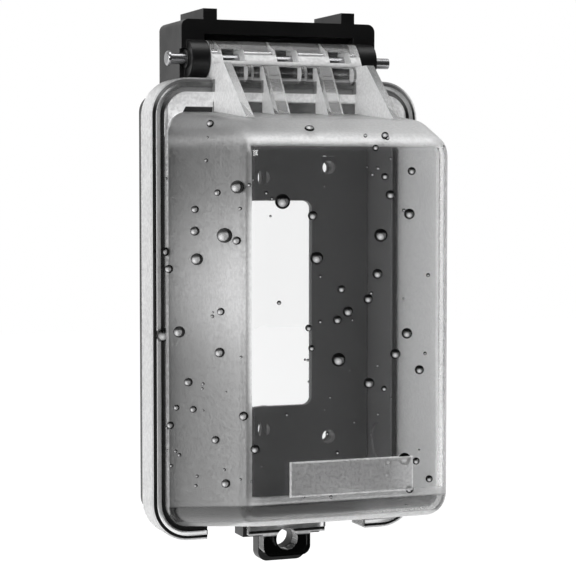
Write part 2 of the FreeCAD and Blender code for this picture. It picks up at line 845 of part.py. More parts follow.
def make_lid(doc, s):
    form = new_body(doc, "lid_form")
    rim_back = s.rim_front - s.rim_thickness
    bubble(form, s, as_size(0), rim_back)
    rim_features(form, s)
    rim_cuts(form, s)
    lid_hinge_features(form, s)
    lid_hinge_cuts(form, s)
    lid_front_features(form, s)

    hollow = new_body(doc, "lid_hollow")
    hollow_back = rim_back - PAST
    bubble(hollow, s, s.bubble_wall, hollow_back)
    spring = -s.bubble_bottom + s.vault_height - s.cord_width / 2
    sketch = front_sketch(hollow, "vault_outline", hollow_back)
    for side in (-1, 1):
        half_width = s.cord_width / 2 + s.vault_wall
        arch(sketch, s.cord_offset * side, half_width, -rim_outside(s)[1], spring)
    pocket(hollow, "vaults", sketch, s.vault_front + s.vault_wall - hollow_back)

    lid = doc.addObject("Part::Cut", "lid")
    lid.Base = form
    lid.Tool = hollow
    lid.Label = "lid"
    doc.recompute()
    return lid


# Seal under the lid's rim


def make_lid_seal(doc, s):
    body = new_body(doc, "lid_seal")
    outer_x = s.tray_width / 2 + s.seal_overhang
    outer_z = s.tray_height / 2 + s.seal_overhang
    corner = s.tray_corner + s.seal_overhang
    rim_back = s.rim_front - s.rim_thickness
    sketch = front_sketch(body, "seal_outline", rim_back - s.seal_thickness)
    for inset in (as_size(0), s.seal_width):
        across, up = outer_x - inset, outer_z - inset
        rounded_rectangle(sketch, -across, across, -up, up, corner - inset)
    pad(body, "seal_strip", sketch, s.seal_thickness)
    cords = s.cord_offset + s.cord_width / 2 + s.seal_gap
    sketch = front_sketch(body, "seal_gap_outline", rim_back - s.seal_thickness)
    inner_z = outer_z - s.seal_width
    rectangle(sketch, -cords, cords, -(outer_z + PAST), -(inner_z - PAST))
    pocket(body, "seal_gap", sketch, s.seal_thickness)
    return body


def check(doc, pieces):
    """Stops if an object failed or a piece has no sound shape."""
    for item in doc.Objects:
        if "Invalid" in item.State or "Error" in item.State:
            raise RuntimeError(f"{item.Name} failed: {item.State}")
    for piece in pieces:
        if piece.Shape.isNull() or not piece.Shape.isValid():
            raise RuntimeError(f"{piece.Label} has no sound shape")
        solids = piece.Shape.Solids
        box = piece.Shape.BoundBox
        print(
            f"{piece.Label}: {len(solids)} solid, {piece.Shape.Volume:.0f} mm3,"
            f" x {box.XMin:.1f} {box.XMax:.1f} y {box.YMin:.1f} {box.YMax:.1f}"
            f" z {box.ZMin:.1f} {box.ZMax:.1f}"
        )


def main():
    doc = FreeCAD.newDocument("in_use_cover")
    s = make_sheet(doc)
    pieces = [
        make_base(doc, s),
        make_wall_gasket(doc, s),
        make_device_insert(doc, s),
        make_hinge_pin(doc, s),
        make_lid(doc, s),
        make_lid_seal(doc, s),
    ]
    doc.recompute()
    check(doc, pieces)
    os.makedirs("parts", exist_ok=True)
    for piece in pieces:
        piece.Shape.exportStep(os.path.join("parts", f"{piece.Label}.step"))


main()
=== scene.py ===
import math
import random
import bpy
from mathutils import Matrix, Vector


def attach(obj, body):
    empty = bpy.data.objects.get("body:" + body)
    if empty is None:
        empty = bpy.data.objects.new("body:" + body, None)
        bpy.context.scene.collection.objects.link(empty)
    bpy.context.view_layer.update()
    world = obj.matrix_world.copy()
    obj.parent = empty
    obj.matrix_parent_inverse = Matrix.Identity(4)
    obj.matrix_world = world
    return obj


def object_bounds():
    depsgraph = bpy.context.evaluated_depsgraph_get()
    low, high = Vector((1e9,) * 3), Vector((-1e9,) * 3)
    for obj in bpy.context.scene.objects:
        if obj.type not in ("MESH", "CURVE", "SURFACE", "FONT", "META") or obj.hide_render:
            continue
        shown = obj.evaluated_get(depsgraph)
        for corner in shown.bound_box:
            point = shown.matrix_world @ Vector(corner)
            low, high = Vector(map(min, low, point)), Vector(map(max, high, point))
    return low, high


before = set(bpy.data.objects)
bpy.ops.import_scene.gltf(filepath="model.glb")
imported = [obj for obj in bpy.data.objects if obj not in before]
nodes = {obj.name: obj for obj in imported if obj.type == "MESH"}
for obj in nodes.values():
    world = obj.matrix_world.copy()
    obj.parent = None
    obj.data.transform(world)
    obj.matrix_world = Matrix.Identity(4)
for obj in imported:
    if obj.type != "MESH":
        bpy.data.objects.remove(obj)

from types import SimpleNamespace

import bmesh
import bpy
from mathutils import Vector
from mathutils.bvhtree import BVHTree

cad_low, cad_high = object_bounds()

# Camera: the photograph's own viewpoint, from the left, a little above the middle.

SENSOR = 36.0
LENS = 116.6
FRAME_PIXELS = 576
CAMERA_PLACE = Vector((-0.2126, -0.5846, 0.0382))
CAMERA_TURN = math.radians(21.0)
CAMERA_DIP = math.radians(3.07)


def make_camera():
    data = bpy.data.cameras.new("camera")
    data.sensor_width = SENSOR
    data.lens = LENS
    data.clip_start = 0.05
    data.clip_end = 20.0
    camera = bpy.data.objects.new("camera", data)
    bpy.context.scene.collection.objects.link(camera)
    ahead = Vector(
        (
            math.sin(CAMERA_TURN) * math.cos(CAMERA_DIP),
            math.cos(CAMERA_TURN) * math.cos(CAMERA_DIP),
            -math.sin(CAMERA_DIP),
        )
    )
    camera.location = CAMERA_PLACE
    camera.rotation_mode = "QUATERNION"
    camera.rotation_quaternion = ahead.to_track_quat("-Z", "Y")
    bpy.context.scene.camera = camera
    bpy.context.view_layer.update()
    return camera


camera = make_camera()
camera_turn = camera.matrix_world.to_3x3()


def pixel_ray(u, v):
    """Direction from the camera through a pixel of the photograph."""
    focal = LENS / SENSOR * FRAME_PIXELS
    middle = FRAME_PIXELS / 2
    return (camera_turn @ Vector(((u - middle) / focal, (middle - v) / focal, -1.0))).normalized()


# Node helpers. A value is a number, a colour as three numbers, or the socket that it comes from.


def feed(tree, socket, value):
    if isinstance(value, bpy.types.NodeSocket):
        tree.links.new(value, socket)
    elif isinstance(value, tuple):
        socket.default_value = (*value, 1.0)
    else:
        socket.default_value = value


def make_node(tree, kind, values=None):
    """A node with its sockets set by name."""
    node = tree.nodes.new("ShaderNode" + kind)
    for name, value in (values or {}).items():
        feed(tree, node.inputs[name], value)
    return node


def new_material(name):
    material = bpy.data.materials.new(name)
    material.use_nodes = True
    material.node_tree.nodes.clear()
    return material, material.node_tree


def object_place(tree):
    return make_node(tree, "TexCoord").outputs["Object"]


def parts(tree, vector):
    """A vector's three numbers."""
    return make_node(tree, "SeparateXYZ", {"Vector": vector}).outputs


def noise(tree, place, scale, detail):
    values = {"Scale": scale, "Detail": detail, "Roughness": NOISE_ROUGHNESS, "Vector": place}
    return make_node(tree, "TexNoise", values).outputs["Fac"]


def remap(tree, value, low, high, to_low, to_high, smooth=False):
    values = {
        "From Min": low, "From Max": high, "To Min": to_low, "To Max": to_high, "Value": value,
    }
    node = make_node(tree, "MapRange", values)
    node.interpolation_type = "SMOOTHSTEP" if smooth else "LINEAR"
    return node.outputs["Result"]


def mask(tree, value, zero, one, smooth=False):
    """0 where the value is at its first limit and before it, 1 at the second and past it."""
    return remap(tree, value, zero, one, 0.0, 1.0, smooth)


def maths(tree, operation, *values):
    node = make_node(tree, "Math")
    node.operation = operation
    for socket, value in zip(node.inputs, values):
        feed(tree, socket, value)
    return node.outputs[0]


def product(tree, *values):
    result = values[0]
    for value in values[1:]:
        result = maths(tree, "MULTIPLY", result, value)
    return result


def between(tree, value, low, high, soft):
    """1 where the value lies between two limits, fading over a soft width outside them."""
    rise = mask(tree, value, low - soft, low, smooth=True)
    fall = mask(tree, value, high + soft, high, smooth=True)
    return product(tree, rise, fall)


def mix(tree, kind, factor, first, second):
    """The first where the factor is 0, and the second where it is 1."""
    node = make_node(tree, "Mix")
    node.data_type = kind
    for name, value in (("Factor", factor), ("A", first), ("B", second)):
        feed(tree, node.inputs[name], value)
    return node.outputs["Result"]


def layer(tree, under, where, level):
    """Takes a number to a level where the mask is 1."""
    return mix(tree, "FLOAT", where, under, level)


def stops(tree, value, pairs):
    """A level that runs smoothly through pairs of place and level."""
    low, high = pairs[0][0], pairs[-1][0]
    ramp = make_node(tree, "ValToRGB", {"Fac": mask(tree, value, low, high)})
    ramp.color_ramp.interpolation = "B_SPLINE"
    points = ramp.color_ramp.elements
    while len(points) < len(pairs):
        points.new(0.5)
    for point, (place, level) in zip(points, pairs):
        point.position = (place - low) / (high - low)
        point.color = (level, level, level, 1.0)
    return ramp.outputs["Color"]


def bump(tree, height, strength, distance, normal=None):
    values = {"Strength": strength, "Distance": distance, "Height": height}
    if normal is not None:
        values["Normal"] = normal
    return make_node(tree, "Bump", values).outputs["Normal"]


def bevel(tree, radius):
    node = make_node(tree, "Bevel", {"Radius": radius})
    node.samples = 4
    return node.outputs["Normal"]


def mix_shaders(tree, factor, first, second):
    node = make_node(tree, "MixShader")
    for socket, source in zip(node.inputs, (factor, first.outputs[0], second.outputs[0])):
        feed(tree, socket, source)
    return node


def surface(tree, shader, kind="OutputMaterial"):
    make_node(tree, kind, {"Surface": shader.outputs[0]})


# Materials

# The span that a noise fills, and the narrower one of a fine grain.
NOISE_ROUGHNESS = 0.55
NOISE_SPAN = (0.3, 0.7)
GRAIN_SPAN = (0.35, 0.65)

# How much lighter the flow marks of the black plastic and the clouds of foam and rubber are,
# and the scale of such clouds as a share of that of the cells.
FLOW_TINT = 1.35
CLOUD_TINT = 1.6
CLOUD_SHARE = 0.2

# Share of the light that the lid's texture scatters, by region.
CLEAR_HAZE = 0.02
WALL_HAZE = 0.60
BROW_HAZE = 0.31
TOP_HAZE = 0.10
RIGHT_HAZE = 0.65
CORNER_HAZE = 0.28
EDGE_HAZE = 0.16
FOOT_HAZE = 0.05
PANEL_HAZE = 0.24
BORDER_HAZE = 0.60
LEDGE_HAZE = 0.05
COLLAR_HAZE = 0.95
HINGE_HAZE = 0.05
CUT_HAZE = 0.85
GUSSET_HAZE = 0.55
GUSSET_FOOT_HAZE = 0.65
SKIRT_HAZE = 0.74
BEAD_HAZE = 0.10
STEP_HAZE = 0.40
LUG_HAZE = 0.0
# From this haze on, a region has its full texture.
TEXTURED_HAZE = 0.10
# What the grain and the slow clouds in the lid do to its haze, tone and roughness.
SPECKLE = (0.80, 1.20)
DRIFT = (0.95, 1.05)
FLECK = (-0.10, 0.10)
POLISH = (0.02, 0.34)
UNEVEN = (0.0, 0.02)
# Most of the light goes on through the lid, so that what it covers isn't dark.
SHADOW_CLEAR = 0.85
SHADOW_COLOUR = (0.9, 0.9, 0.9)

# How light the plastic is, by region, along heights for the left wall and the hinge. Both are
# painted light and shade: the left wall light in the middle and dark at its ends, the hinge in
# light and dark bands.
WALL_PAINTED_LIGHT = (
    (-0.050, 0.38), (-0.028, 0.37), (-0.012, 0.41), (0.003, 0.80),
    (0.019, 0.70), (0.034, 0.34), (0.047, 0.23),
)
# Painted light and shade on the hinge: light and dark bands along its height.
HINGE_PAINTED_LIGHT = (
    (0.062, 0.95), (0.068, 0.90), (0.0715, 0.35),
    (0.0765, 0.35), (0.0785, 0.80), (0.085, 0.90),
)
# The share of the left wall's tone that is left next to the rim: painted shade, darker towards
# the rim.
WALL_BACK_SHADE = 0.46
# Painted shade on the brow: darker than the rest of the lid, and darker still at the left.
BROW_PAINTED_SHADE = 0.78
BROW_LEFT_PAINTED_SHADE = 0.42
# Painted light on the hinge's faces that face sideways.
SIDE_PAINTED_LIGHT = 0.88
LUG_TONE = 0.10
SKIRT_TONE = 0.86

# Painted shade along the bubble's foot: how dark the band there is, at the left and at the right.
FOOT_SHADES = (0.84, 0.60)
# The share of the rim's dark seam that is left at the top of the lid.
SEAM_TOP = 0.75
# Colour of the dark seam, also used for the painted shade along the foot and in the nook.
SEAM_AND_SHADE_COLOUR = (0.012, 0.012, 0.012)

# Water, with painted shading: the shades over which it turns from painted dark to light, how
# clear it is in the middle of a drop, and how much of that its painted highlight takes back.
DROP_LIT = (0.75, 1.0)
DROP_CLEAR = 0.88
DROP_HIGHLIGHT = 0.80

# The lid's sizes, in metres. The bubble's top and bottom slope with depth.
TOP_HEIGHT = 0.0620
TOP_DEPTH = 0.0280
TOP_DRAFT = 0.0937
BUBBLE_BOTTOM = 0.068
BOTTOM_DRAFT = 0.1584
RIM_FRONT = 0.030
RIM_CORNER = 0.012
RIM_HALF_WIDTH = 0.0451
RIM_HALF_HEIGHT = 0.0725
PANEL_HALF_WIDTH = 0.0195
PANEL_HALF_HEIGHT = 0.0051
PANEL_MIDDLE = -0.0464

# The hinge's parts stand above the bubble's sloping top.
HINGE_FOOT = TOP_HEIGHT + TOP_DEPTH * TOP_DRAFT + 0.0002
HINGE_START = (HINGE_FOOT, HINGE_FOOT + 0.0003)

# Painted shade in the nook beside the left gusset: it lies below a slanting line, z = slope x +
# rise, and a cap.
NOOK_SLOPE = 1.909
NOOK_RISE = 0.12885
NOOK_CAP = 0.0634
NOOK_EDGE = (0.0001, -0.0001)

# Edges of regions, in metres: where a mask is 0 and where it is 1, or where a level's change
# begins and ends.
# Depths in front of the wall.
RIM_BACK_DEPTHS = (0.0284, 0.0288)
COLLAR_BACK_DEPTHS = (0.0296, 0.0299)
BEAD_DEPTHS = (0.0302, 0.0304)
COLLAR_FRONT_DEPTHS = (0.0320, 0.0316)
BUBBLE_DEPTHS = (0.0320, 0.0328)
RIM_FRONT_DEPTHS = (0.0330, 0.0325)
WALL_DEPTHS = (0.034, 0.072)
VAULT_DEPTHS = (0.0436, 0.0430)
FACE_DEPTHS = (0.0745, 0.0750)
BORDER_DEPTHS = (0.0829, 0.08299)
PANEL_DEPTHS = (0.08315, 0.08325)
# Heights.
LUG_TOP = (-0.0728, -0.0732)
VAULT_TOP = (-0.0560, -0.0570)
WINDOW_BOTTOM = (-0.0540, -0.0520)
WINDOW_TOP = (0.0532, 0.0496)
STRIP_TOP = (0.0560, 0.0500)
LEFT_TOP = (0.0580, 0.0490)
CREST_BOTTOM = (0.0515, 0.0550)
SHOULDER_BOTTOM = (0.0540, 0.0545)
BROW_TOP = (0.0584, 0.0600)
COLLAR_BOTTOM = (0.0600, 0.0605)
SEAM_FADE = (0.0620, 0.0680)
GUSSET_HEIGHTS = (0.0640, 0.0740)
LEDGE_TOP = (0.0650, 0.0656)
SKIRT_TOP = (0.0730, 0.0726)
# Places from left to right.
BROW_SIDE = (-0.0360, -0.0080)
LEFT_SIDE = (-0.0306, -0.0316)
NOOK_SIDE = (-0.0252, -0.0256)
FOOT_SIDE = (-0.002, 0.012)
RIGHT_SIDE = (0.0300, 0.0306)
# Distances from the middle, and from the rim's outline inward.
GUSSET_SIDES = (0.0252, 0.0254)
STEP_SIDES = (0.0398, 0.0400)
SKIRT_INSET = (0.0005, 0.0003)
STEP_INSET = (0.0043, 0.0045)

# Bands: first place, last place and the soft width outside them.
WINDOW_BAND = (-0.0306, 0.0306, 0.0005)
FOOT_BAND = (0.0018, 0.0061, 0.0006)
CREASE_BAND = (-0.0318, -0.0309, 0.0004)
CREASE_HEIGHTS = (-0.053, 0.047, 0.003)
SILL_BAND = (-0.030, 0.030, 0.002)
SILL_HEIGHTS = (-0.0524, -0.0514, 0.0004)
BORDER_BAND = (-0.00035, 0.0, 0.0001)
RIM_BAND = (0.0006, 0.0043, 0.0002)
STEP_BAND = (0.0304, 0.0330, 0.0002)

# Parts of a face's direction from which it counts as facing sideways or forward.
SIDEWAYS = (0.80, 0.88)
FORWARD = (-0.80, -0.88)

# The inside of the tray: distances from its middle, and the floor's place along the depth axis.
TRAY_SIDES = (0.0418, 0.0417)
TRAY_ENDS = (0.0691, 0.0690)
TRAY_FLOOR = (-0.0050, -0.0055)


def in_tray(tree, place):
    """1 on the faces inside the tray."""
    x, y, z = parts(tree, place)
    across = mask(tree, maths(tree, "ABSOLUTE", x), *TRAY_SIDES)
    up = mask(tree, maths(tree, "ABSOLUTE", z), *TRAY_ENDS)
    return product(tree, across, up, mask(tree, y, *TRAY_FLOOR))


def black_plastic(name, tint, grain, edge, inside=None):
    """Moulded black plastic: fine spark grain, faint flow marks and softened edges; where an
    inside colour is given, painted light makes the faces inside the tray a lighter grey.
    """
    material, tree = new_material(name)
    place = object_place(tree)
    flow = noise(tree, place, scale=60.0, detail=4.0)
    fine = noise(tree, place, scale=grain, detail=2.0)
    colour = mix(tree, "RGBA", flow, tint, tuple(part * FLOW_TINT for part in tint))
    # Painted light: a lighter grey on the faces inside the tray.
    if inside is not None:
        colour = mix(tree, "RGBA", in_tray(tree, place), colour, inside)
    values = {
        "Base Color": colour,
        "Roughness": remap(tree, flow, *NOISE_SPAN, 0.34, 0.46),
        "Specular IOR Level": 0.45,
        "Normal": bump(tree, fine, strength=0.12, distance=0.0002, normal=bevel(tree, edge)),
    }
    surface(tree, make_node(tree, "BsdfPrincipled", values))
    return material


def soft_black(name, tint, scale, depth, roughness):
    """Foam or rubber: cells or skin pits over a dull black."""
    material, tree = new_material(name)
    place = object_place(tree)
    cells = make_node(tree, "TexVoronoi", {"Scale": scale, "Vector": place})
    cloud = noise(tree, place, scale=scale * CLOUD_SHARE, detail=3.0)
    values = {
        "Base Color": mix(tree, "RGBA", cloud, tint, tuple(part * CLOUD_TINT for part in tint)),
        "Roughness": remap(tree, cloud, *NOISE_SPAN, roughness, roughness + 0.1),
        "Specular IOR Level": 0.3,
        "Normal": bump(tree, cells.outputs["Distance"], strength=0.5, distance=depth),
    }
    surface(tree, make_node(tree, "BsdfPrincipled", values))
    return material


def pin_steel(name):
    """Drawn steel rod with fine lines along it."""
    material, tree = new_material(name)
    values = {"Scale": Vector((40.0, 4000.0, 4000.0)), "Vector": object_place(tree)}
    stretched = make_node(tree, "Mapping", values).outputs[0]
    lines = noise(tree, stretched, scale=1.0, detail=2.0)
    values = {
        "Metallic": 1.0,
        "Base Color": mix(tree, "RGBA", lines, (0.32, 0.32, 0.33), (0.5, 0.5, 0.51)),
        "Roughness": remap(tree, lines, *NOISE_SPAN, 0.18, 0.34),
        "Normal": bump(tree, lines, strength=0.2, distance=0.00005),
    }
    surface(tree, make_node(tree, "BsdfPrincipled", values))
    return material


def rim_inset(tree, at):
    """How far a point lies inside the rim's rounded outline."""
    squares = []
    height = maths(tree, "ABSOLUTE", at.z)
    for value, half in ((at.across, RIM_HALF_WIDTH), (height, RIM_HALF_HEIGHT)):
        past = maths(tree, "MAXIMUM", maths(tree, "SUBTRACT", value, half - RIM_CORNER), 0.0)
        squares.append(maths(tree, "MULTIPLY", past, past))
    reach = maths(tree, "SQRT", maths(tree, "ADD", *squares))
    return maths(tree, "SUBTRACT", RIM_CORNER, reach)


def lid_places(tree):
    """Where a point of the lid lies, and the masks that more than one look needs."""
    coordinates = make_node(tree, "TexCoord")
    at = SimpleNamespace(place=coordinates.outputs["Object"])
    at.x, y, at.z = parts(tree, at.place)
    turned = parts(tree, coordinates.outputs["Normal"])
    at.depth = maths(tree, "MULTIPLY", y, -1.0)
    at.across = maths(tree, "ABSOLUTE", at.x)
    at.sideways = mask(tree, maths(tree, "ABSOLUTE", turned[0]), *SIDEWAYS)
    at.forward = mask(tree, turned[1], *FORWARD)

    at.bubble = mask(tree, at.depth, *BUBBLE_DEPTHS)
    at.face = mask(tree, at.depth, *FACE_DEPTHS)
    at.crest = product(tree, at.bubble, mask(tree, at.z, *CREST_BOTTOM, smooth=True))
    over_top = maths(tree, "ADD", at.z, maths(tree, "MULTIPLY", at.depth, TOP_DRAFT))
    at.hinge = mask(tree, over_top, *HINGE_START)
    slope = maths(tree, "MULTIPLY", maths(tree, "SUBTRACT", at.depth, RIM_FRONT), BOTTOM_DRAFT)
    over_bottom = maths(tree, "SUBTRACT", maths(tree, "ADD", at.z, BUBBLE_BOTTOM), slope)
    at.foot = product(tree, at.bubble, between(tree, over_bottom, *FOOT_BAND))

    at.inset = rim_inset(tree, at)
    at.low = mask(tree, at.depth, *RIM_FRONT_DEPTHS)
    below_hinge = mask(tree, at.z, *SKIRT_TOP)
    at.skirt = product(tree, at.low, mask(tree, at.inset, *SKIRT_INSET), below_hinge)
    at.lug = mask(tree, at.z, *LUG_TOP)
    return at


def bubble_haze(tree, at):
    """The bubble's walls, brow, right strip, window, foot and two creases."""
    haze = layer(tree, CLEAR_HAZE, at.bubble, WALL_HAZE)
    brow = remap(tree, at.z, *BROW_TOP, BROW_HAZE, TOP_HAZE, smooth=True)
    haze = layer(tree, haze, at.crest, brow)
    right = product(
        tree, at.bubble, mask(tree, at.x, *RIGHT_SIDE), mask(tree, at.z, *STRIP_TOP)
    )
    haze = layer(tree, haze, right, layer(tree, RIGHT_HAZE, at.face, CORNER_HAZE))
    window = product(
        tree,
        at.face,
        between(tree, at.x, *WINDOW_BAND),
        mask(tree, at.z, *WINDOW_TOP, smooth=True),
        mask(tree, at.z, *WINDOW_BOTTOM, smooth=True),
    )
    haze = layer(tree, haze, window, CLEAR_HAZE)
    haze = layer(tree, haze, at.foot, FOOT_HAZE)
    creases = (
        (between(tree, at.x, *CREASE_BAND), between(tree, at.z, *CREASE_HEIGHTS)),
        (between(tree, at.z, *SILL_HEIGHTS), between(tree, at.x, *SILL_BAND)),
    )
    for crease in creases:
        haze = layer(tree, haze, product(tree, at.face, *crease), EDGE_HAZE)
    return haze


def panel_haze(tree, at, haze):
    """The raised panel, and the clouded border round it."""
    haze = layer(tree, haze, mask(tree, at.depth, *PANEL_DEPTHS), PANEL_HAZE)
    height = maths(tree, "ABSOLUTE", maths(tree, "SUBTRACT", at.z, PANEL_MIDDLE))
    outside = maths(
        tree,
        "MAXIMUM",
        maths(tree, "SUBTRACT", at.across, PANEL_HALF_WIDTH),
        maths(tree, "SUBTRACT", height, PANEL_HALF_HEIGHT),
    )
    raised = mask(tree, at.depth, *BORDER_DEPTHS)
    border = product(tree, between(tree, outside, *BORDER_BAND), raised)
    return layer(tree, haze, border, BORDER_HAZE)


def hinge_haze(tree, at, haze):
    """The hinge, the collar below it and the vaults' fronts; also the mask of the painted shade
    in the nook.
    """
    gusset = mask(tree, at.across, *GUSSET_SIDES)
    side = remap(tree, at.z, *GUSSET_HEIGHTS, GUSSET_FOOT_HAZE, GUSSET_HAZE, smooth=True)
    cut = layer(tree, CUT_HAZE, gusset, side)
    haze = layer(tree, haze, at.hinge, layer(tree, HINGE_HAZE, at.sideways, cut))

    collar = product(
        tree,
        mask(tree, at.depth, *COLLAR_FRONT_DEPTHS),
        mask(tree, at.depth, *COLLAR_BACK_DEPTHS),
    )
    ledge = layer(tree, LEDGE_HAZE, mask(tree, at.z, *LEDGE_TOP), COLLAR_HAZE)
    haze = layer(tree, haze, product(tree, collar, mask(tree, at.z, *COLLAR_BOTTOM)), ledge)
    shoulder = product(tree, collar, gusset, mask(tree, at.z, *SHOULDER_BOTTOM))
    haze = layer(tree, haze, shoulder, COLLAR_HAZE)

    slant = maths(tree, "ADD", maths(tree, "MULTIPLY", at.x, NOOK_SLOPE), NOOK_RISE)
    line = maths(tree, "MINIMUM", slant, NOOK_CAP)
    below_line = mask(tree, maths(tree, "SUBTRACT", at.z, line), *NOOK_EDGE)
    # Painted shade in the nook beside the left gusset.
    nook_shade = product(tree, shoulder, below_line, mask(tree, at.x, *NOOK_SIDE))

    vault = product(tree, mask(tree, at.depth, *VAULT_DEPTHS), mask(tree, at.z, *VAULT_TOP))
    haze = layer(tree, haze, product(tree, vault, at.forward, at.bubble), CUT_HAZE)
    return haze, nook_shade


def rim_haze(tree, at, haze):
    """The skirt, the bead, the step inside it and the lug; also the dark seam's mask."""
    haze = layer(tree, haze, at.skirt, SKIRT_HAZE)
    rim = product(
        tree,
        at.low,
        mask(tree, at.depth, *RIM_BACK_DEPTHS),
        between(tree, at.inset, *RIM_BAND),
    )
    bead = product(tree, at.forward, mask(tree, at.depth, *BEAD_DEPTHS))
    fade = remap(tree, at.z, *SEAM_FADE, 1.0, SEAM_TOP, smooth=True)
    seam = product(tree, rim, maths(tree, "SUBTRACT", 1.0, bead), fade)
    haze = layer(tree, haze, product(tree, rim, bead), BEAD_HAZE)
    step = product(
        tree,
        between(tree, at.depth, *STEP_BAND),
        mask(tree, at.across, *STEP_SIDES),
        mask(tree, at.inset, *STEP_INSET),
    )
    haze = layer(tree, haze, step, STEP_HAZE)
    haze = layer(tree, haze, at.lug, LUG_HAZE)
    return haze, seam


def lid_tone_and_painted_light(tree, at):
    """How light the plastic is: painted light and shade on the left wall, the brow and the hinge,
    and set tones for the skirt and the lug.
    """
    # Painted shade on the brow, darker towards the left.
    brow = remap(tree, at.x, *BROW_SIDE, BROW_LEFT_PAINTED_SHADE, BROW_PAINTED_SHADE, smooth=True)
    tone = layer(tree, 1.0, at.crest, brow)
    left = product(
        tree,
        at.bubble,
        mask(tree, at.x, *LEFT_SIDE),
        mask(tree, at.z, *LEFT_TOP, smooth=True),
    )
    # Painted light and shade on the left wall: light in the middle, dark at both ends, darker
    # towards the rim.
    share = remap(tree, at.depth, *WALL_DEPTHS, WALL_BACK_SHADE, 1.0)
    tone = layer(tree, tone, left, product(tree, stops(tree, at.z, WALL_PAINTED_LIGHT), share))
    tone = layer(tree, tone, at.skirt, SKIRT_TONE)
    # Painted light and shade on the hinge: bands by height, and a set level where it faces
    # sideways.
    hinge = layer(tree, stops(tree, at.z, HINGE_PAINTED_LIGHT), at.sideways, SIDE_PAINTED_LIGHT)
    tone = layer(tree, tone, at.hinge, hinge)
    return layer(tree, tone, at.lug, LUG_TONE)


def clear_plastic(name):
    """Clear moulding: polished over the window in its face, fine-textured everywhere else, with
    painted light and shade in its tone, along its foot and in the nook.
    """
    material, tree = new_material(name)
    at = lid_places(tree)
    haze = panel_haze(tree, at, bubble_haze(tree, at))
    haze, nook_shade = hinge_haze(tree, at, haze)
    haze, seam = rim_haze(tree, at, haze)
    # The seam's mask now also carries the painted shade in the nook.
    seam = maths(tree, "MAXIMUM", seam, nook_shade)
    # Painted shade along the bubble's foot, darker at the left than at the right.
    shade = product(tree, at.foot, remap(tree, at.x, *FOOT_SIDE, *FOOT_SHADES, smooth=True))

    grain = noise(tree, at.place, scale=1100.0, detail=2.0)
    cloud = noise(tree, at.place, scale=45.0, detail=3.0)
    speckle = remap(tree, grain, *GRAIN_SPAN, *SPECKLE)
    drift = remap(tree, cloud, *NOISE_SPAN, *DRIFT)
    textured = mask(tree, haze, CLEAR_HAZE, TEXTURED_HAZE)

    plain = mix(tree, "RGBA", cloud, (0.945, 0.948, 0.95), (0.985, 0.986, 0.988))
    # Darkens towards the seam's colour: the dark seam, and painted shade along the foot and in
    # the nook.
    tint = mix(tree, "RGBA", maths(tree, "MAXIMUM", seam, shade), plain, SEAM_AND_SHADE_COLOUR)
    fleck = product(tree, remap(tree, grain, *GRAIN_SPAN, *FLECK), textured)
    toned = make_node(tree, "VectorMath")
    toned.operation = "SCALE"
    feed(tree, toned.inputs[0], tint)
    # The tone carries painted light and shade; the grain adds flecks.
    level = product(tree, lid_tone_and_painted_light(tree, at), maths(tree, "ADD", fleck, 1.0))
    feed(tree, toned.inputs["Scale"], level)

    polish = remap(tree, textured, 0.0, 1.0, *POLISH)
    uneven = remap(tree, cloud, *NOISE_SPAN, *UNEVEN)
    solid = maths(tree, "MAXIMUM", product(tree, haze, speckle, drift), seam)
    values = {
        "IOR": 1.5,
        "Specular IOR Level": 0.5,
        "Base Color": toned.outputs[0],
        "Roughness": maths(tree, "ADD", polish, uneven),
        "Transmission Weight": maths(tree, "SUBTRACT", 1.0, solid),
        "Normal": bump(tree, product(tree, grain, textured), strength=0.2, distance=0.0001),
    }
    plastic = make_node(tree, "BsdfPrincipled", values)
    through = make_node(tree, "BsdfTransparent", {"Color": SHADOW_COLOUR})
    shadow = make_node(tree, "LightPath").outputs["Is Shadow Ray"]
    surface(tree, mix_shaders(tree, product(tree, shadow, SHADOW_CLEAR), plastic, through))
    return material


def water(name):
    """Drop of water, with painted shading: dark round its edge and painted shade under its top,
    clear inside with a painted highlight.
    """
    material, tree = new_material(name)
    attribute = make_node(tree, "Attribute")
    attribute.attribute_name = "drop_shade"
    inside = attribute.outputs["Fac"]
    ripple = noise(tree, object_place(tree), scale=500.0, detail=1.0)
    # Painted shading from the drop's shade value: a dark edge and top, a clear middle and a
    # painted highlight.
    lit = mask(tree, inside, *DROP_LIT)
    clear = remap(tree, inside, 0.0, 1.0, 0.0, DROP_CLEAR)
    white = remap(tree, inside, 1.0, 2.0, 0.0, DROP_HIGHLIGHT)
    values = {
        "IOR": 1.33,
        "Specular IOR Level": 0.25,
        "Base Color": mix(tree, "RGBA", lit, (0.004, 0.004, 0.004), (0.95, 0.95, 0.96)),
        "Roughness": remap(tree, ripple, *NOISE_SPAN, 0.06, 0.10),
        "Alpha": maths(tree, "ADD", maths(tree, "SUBTRACT", 1.0, clear), white),
    }
    surface(tree, make_node(tree, "BsdfPrincipled", values))
    return material


def dress(node, material):
    mesh = nodes[node].data
    mesh.materials.clear()
    mesh.materials.append(material)


dress(
    "base",
    black_plastic(
        "black_plastic",
        tint=(0.0025, 0.0025, 0.0027),
        grain=2600.0,
        edge=0.0003,
        # Painted light: the faces inside the tray are a lighter grey.
        inside=(0.16, 0.16, 0.162),
    ),
)
dress(
    "device_insert",
    black_plastic("insert_black", tint=(0.038, 0.038, 0.039), grain=1800.0, edge=0.0002),
)
dress(
    "wall_gasket",
    soft_black("foam", tint=(0.02, 0.02, 0.02), scale=1500.0, depth=0.0003, roughness=0.75),
)
dress(
    "lid_seal",
    soft_black(
        "seal_rubber", tint=(0.012, 0.012, 0.012), scale=4000.0, depth=0.00005, roughness=0.5
    ),
)
dress("hinge_pin", pin_steel("pin_steel"))
dress("lid", clear_plastic("clear_plastic"))

# Water drops, each set on the lid where the photograph shows it: pixel, pixel, radius in pixels.

